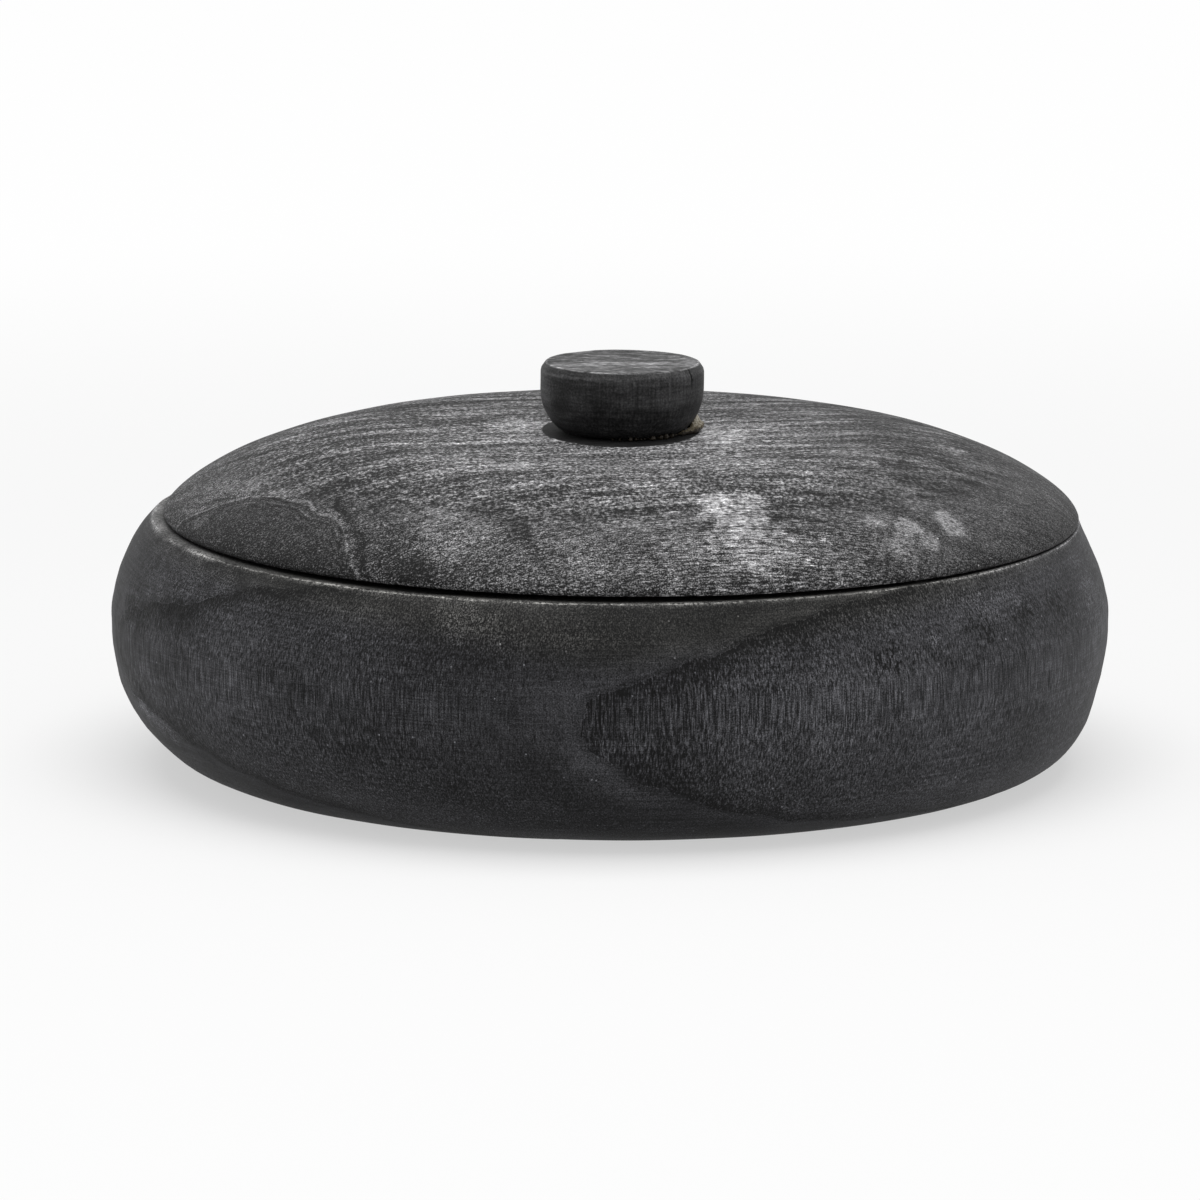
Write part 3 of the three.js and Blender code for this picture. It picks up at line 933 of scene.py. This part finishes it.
# The surface waves slowly, its side edge is worn and its crack is open. Nothing rises over the
# top face, or moves at the base and the hole.
knob_wave, edge_wear, edge_wear_width, crack_depth = 0.05, 0.06, 0.7, 0.35
relief = knob_wave * unevenness(x, y, z, 11, seed=41)
relief = relief - edge_wear * np.exp(-(from_side_edge / edge_wear_width) ** 2)
relief = relief - crack_depth * (1 - smooth(crack, 0.1, 0.5))
relief = np.where(height_on_knob > 0.05, relief, 0) * smooth(r, 6, 9)
x = x + relief * normal[:, :1] * np.cos(turn)
y = y + relief * normal[:, :1] * np.sin(turn)
z = z + np.minimum(relief * normal[:, 1:], np.where(outline[:, 1:] > 20, 0, 9))
on_top = np.repeat(smooth(normal[:, 1:], 0.75, 0.97), knob_turns, axis=1)
x, y, z = laid(x, y, z + knob_base)
knob = skin("turned_knob", x, y, z, {
    "crack": crack, "top_edge": from_top_edge, "side_edge": from_side_edge,
    "height_on_knob": height_on_knob, "on_top": on_top})

knob_fibres = (0.998, -0.06, 0.0)
knob_darkest = 0.03


def knob_wood():
    """Two shades, each with its textures and marks times their amounts, blended by how level the
    surface is: the rubbed top with a pale band across it, and the dark side with upright
    scrapes and the lathe's lines. Rubbed edges and the crack come over both."""
    material, tree = empty_material("stained_wood_knob")
    place = place_in_mm(tree)
    at = coordinates(tree, place)
    height = mark_of(tree, "height_on_knob")
    sweep = mottle(tree, along_fibres(tree, place, knob_fibres, 4), 3.0, 4.0, 0.8)
    fleck = mottle(tree, along_fibres(tree, place, knob_fibres, 3), 0.8, 2.0, 0.65)
    cloud = mottle(tree, place, 9.0, 3.0, 0.55)
    scrape = mottle(tree, stretched(tree, place, 1.0, 1.0, 0.06), 0.75, 2.0, 0.6)
    lathe_line = mottle(tree, stretched(tree, place, 0.1, 0.1, 1.0), 1.1, 3.0, 0.6)
    speckle = mottle(tree, place, 0.6, 1.0)

    band = marked(tree, at["Y"], (reckon(tree, "MINIMUM", at["X"], 0.0), -0.4))
    band = reckon(tree, "ABSOLUTE", reckon(tree, "ADD", band, 4.0))
    top = spread(tree, at["Y"], -14.0, 6.0, 0.275, 0.225)
    top = varied(tree, top, (sweep, 1.5), (fleck, 1.2))
    top = marked(tree, top, (step_between(tree, band, 4.6, 1.4), 0.18))

    to_right = times(tree, step_between(tree, at["X"], -3.0, 12.0),
                     step_between(tree, height, 9.5, 13.0))
    scraped = step_between(tree, at["X"], -12.0, 4.0, 0.12, 0.3)
    left_sheen = vector_reckon(tree, "DISTANCE", place, (-20.5, -8.0, 121.0))
    # The side is paler low down, under 8 mm and most under 3 mm: painted fill light on its low part
    side = spread(tree, height, 3.0, 8.0, 0.20, 0.165)
    side = marked(tree, side, (to_right, 0.045))
    side = varied(tree, side, (cloud, 0.24), (scrape, scraped), (lathe_line, 0.28),
                  (speckle, 0.26))
    side = marked(tree, side, (step_between(tree, at["X"], 24.0, 29.0), -0.04),
                  (step_between(tree, left_sheen, 9.0, 2.0), 0.10))

    worn = step_between(tree, mottle(tree, place, 5.0, 2.0, 0.6), 0.34, 0.52)
    top_line = times(tree, step_between(tree, mark_of(tree, "top_edge"), 0.75, 0.1), worn)
    side_line = times(tree, step_between(tree, mark_of(tree, "side_edge"), 0.9, 0.1), worn,
                      step_between(tree, at["X"], 8.0, -14.0))
    # The crack is painted darker than the wood round it: painted shade inside the split
    split = step_between(tree, mark_of(tree, "crack"), 0.5, 0.15)
    shade = marked(tree, blend(tree, mark_of(tree, "on_top"), side, top), (top_line, 0.24),
                   (side_line, 0.13), (split, -0.3))
    finish(tree, stained(tree, reckon(tree, "MAXIMUM", shade, knob_darkest)),
           roughness=spread(tree, cloud, 0.3, 0.7, 0.5, 0.66), gloss=0.2,
           height=marked(tree, fleck, (scrape, 0.6)), depth=0.2, strength=0.5)
    return material


knob.data.materials.append(knob_wood())
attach(knob, "lid")
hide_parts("knob")


# The dowel: a short fluted pin of bare beech between lid and knob, glued into a blind hole in
# each. Its flutes let air and glue out, and its ends are chamfered.
dowel_flutes = 18
flute_depth = 0.18
dowel_chamfer = 0.8
dowel_turns = 144


def dowel_outline():
    """From the middle of the lower end over its chamfer, up the side, to the upper end: five
    straight lines."""
    low, high = -dowel_in_lid - seat_gap, dowel_in_knob
    side_low, side_high = low + dowel_chamfer, high - dowel_chamfer
    end_radius = dowel_radius - dowel_chamfer
    return joined(
        straight(0, low, end_radius, low, steps=4),
        straight(end_radius, low, dowel_radius, side_low, steps=3),
        straight(dowel_radius, side_low, dowel_radius, side_high, steps=22),
        straight(dowel_radius, side_high, end_radius, high, steps=3),
        straight(end_radius, high, 0, high, steps=4))


# The flutes: the square of the cosine of the turn times their number, where that cosine is above
# zero. They run out in the chamfers.
r, turn, z = turned(dowel_outline(), dowel_turns)
groove = np.clip(np.cos(dowel_flutes * turn), 0, 1) ** 2
r = r - flute_depth * groove * smooth(r, 3.6, 4.6)
x, y, z = laid(r * np.cos(turn), r * np.sin(turn), z + knob_base)
dowel = skin("fluted_dowel", x, y, z, {"groove": groove})


def dowel_wood():
    """A colour between two of bare beech by the upright grain, darker by a share in the short
    rays and in the flutes."""
    material, tree = empty_material("bare_wood")
    place = place_in_mm(tree)
    grain = mottle(tree, stretched(tree, place, 1.0, 1.0, 0.08), 1.1, 3.0, 0.6)
    ray = scattered(tree, stretched(tree, place, 1.0, 1.0, 0.35), spacing=0.8, size=0.16, share=0.5)
    colour = colour_between(tree, step_between(tree, grain, 0.3, 0.7),
                            (0.36, 0.24, 0.13, 1), (0.56, 0.41, 0.25, 1))
    colour = colour_between(tree, times(tree, ray, 0.6), colour, (0.24, 0.13, 0.06, 1))
    colour = colour_between(tree, times(tree, mark_of(tree, "groove"), 0.35), colour,
                            (0.30, 0.20, 0.11, 1))
    finish(tree, colour, roughness=spread(tree, grain, 0.3, 0.7, 0.6, 0.78), gloss=0.3,
           height=grain, depth=0.1, strength=0.4)
    return material


dowel.data.materials.append(dowel_wood())
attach(dowel, "lid")
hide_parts("knob_dowel")


# The glue: a bead of old hide glue that came out from under the knob and dried there. In front it
# is thin and broken into crumbs, and at the right it swells to a cracked, dusty lump.
glue_from = math.radians(-100)
glue_to = math.radians(14)
glue_thin = 0.45
glue_thick = 1.65
glue_power = 1.7
glue_lumps = 0.22
glue_lump_size = 1.9
glue_rows = 220
glue_turns = 40


def knob_radius_at(height):
    """How far the knob's tucked side stands from its middle, at a height over its base: the
    superellipse of its outline."""
    down = 1 - np.clip(height, 0, knob_tuck_height) / knob_tuck_height
    out = (1 - down ** knob_tuck_power) ** (1 / knob_tuck_power)
    return knob_radius - knob_tuck + knob_tuck * out


def glue_bead_places():
    """A tube along an arc round the knob: the arc's angle runs with the rows, the angle round
    the tube with the columns, and the tube's radius grows with a power of the first. Its section
    is drawn up at the knob's side, and it is lumpy by a random field. The radius rounds off like
    a circle over a thirtieth of the run at the thin end and an eleventh at the thick end."""
    share = np.linspace(0, 1, glue_rows)[:, None]
    around = np.linspace(0, 2 * np.pi, glue_turns, endpoint=False)[None, :]
    angle = glue_from + (glue_to - glue_from) * share
    radius = glue_thin + (glue_thick - glue_thin) * share ** glue_power
    from_end = np.clip(np.minimum(30 * share, 11 * (1 - share)), 0, 1)
    ends = np.sqrt(from_end * (2 - from_end))
    crumbs = unevenness(90 * share, 0 * share, 0 * share, 2.9, seed=51)
    crumbs = 0.1 + 0.8 * smooth(crumbs, 0.0, 1.2)
    crumbs = crumbs + (1 - crumbs) * smooth(share, 0.62, 0.8)
    radius = radius * crumbs * ends
    middle = knob_radius_at(2 * radius) + seat_gap + radius
    swollen = smooth(share, 0.72, 0.9)
    out = middle + radius * np.cos(around) * (1 + 0.45 * swollen * (np.cos(around) > 0))
    drawn_up = (1 - np.cos(around)) / 2 * np.clip(np.sin(around), 0, 1)
    up = radius * (1 + np.sin(around)) * (1 + (0.35 + 0.75 * swollen) * drawn_up)
    lump = unevenness(out * np.cos(angle), out * np.sin(angle), up, glue_lump_size, seed=52)
    lump = glue_lumps * lump * np.minimum(radius, 1.2) * np.clip(np.sin(around) + 0.3, 0, 1)
    out = out + lump * np.cos(around) * (np.cos(around) > 0)
    up = np.maximum(up + lump, 0.02)
    marks = {"along_bead": share + 0 * around, "facing_up": np.sin(around) + 0 * share}
    return out * np.cos(angle), out * np.sin(angle), up, marks


x, y, z, glue_marks = glue_bead_places()
x, y, z = laid(x, y, z + knob_base)
glue = skin("glue_bead_dried", x, y, z, glue_marks)


def dried_glue():
    """A colour that goes from dark through brown to pale by the sum of the crumbling, how far the
    surface faces up and how far along the bead it is, with specks of dust near the thick end."""
    material, tree = empty_material("dried_glue")
    place = place_in_mm(tree)
    crumble = mottle(tree, place, 1.1, 3.0, 0.65)
    dust = mottle(tree, place, 0.35, 2.0, 0.6)
    along_bead = mark_of(tree, "along_bead")
    pale = marked(tree, -0.72, (mark_of(tree, "facing_up"), 0.34), (crumble, 1.3))
    pale = reckon(tree, "ADD", pale, step_between(tree, along_bead, 0.45, 0.93, -0.3, 0.34))
    colour = colour_between(tree, step_between(tree, pale, 0.05, 0.35),
                            (0.022, 0.016, 0.010, 1), (0.13, 0.105, 0.06, 1))
    colour = colour_between(tree, step_between(tree, pale, 0.35, 0.72), colour,
                            (0.50, 0.46, 0.37, 1))
    dusty = times(tree, step_between(tree, dust, 0.62, 0.75),
                  step_between(tree, along_bead, 0.6, 0.85))
    colour = colour_between(tree, dusty, colour, (0.5, 0.48, 0.42, 1))
    finish(tree, colour, roughness=spread(tree, dust, 0.3, 0.7, 0.35, 0.7), gloss=0.4,
           height=crumble, depth=0.3, strength=0.7)
    return material


glue.data.materials.append(dried_glue())
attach(glue, "lid")
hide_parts("glue_bead")
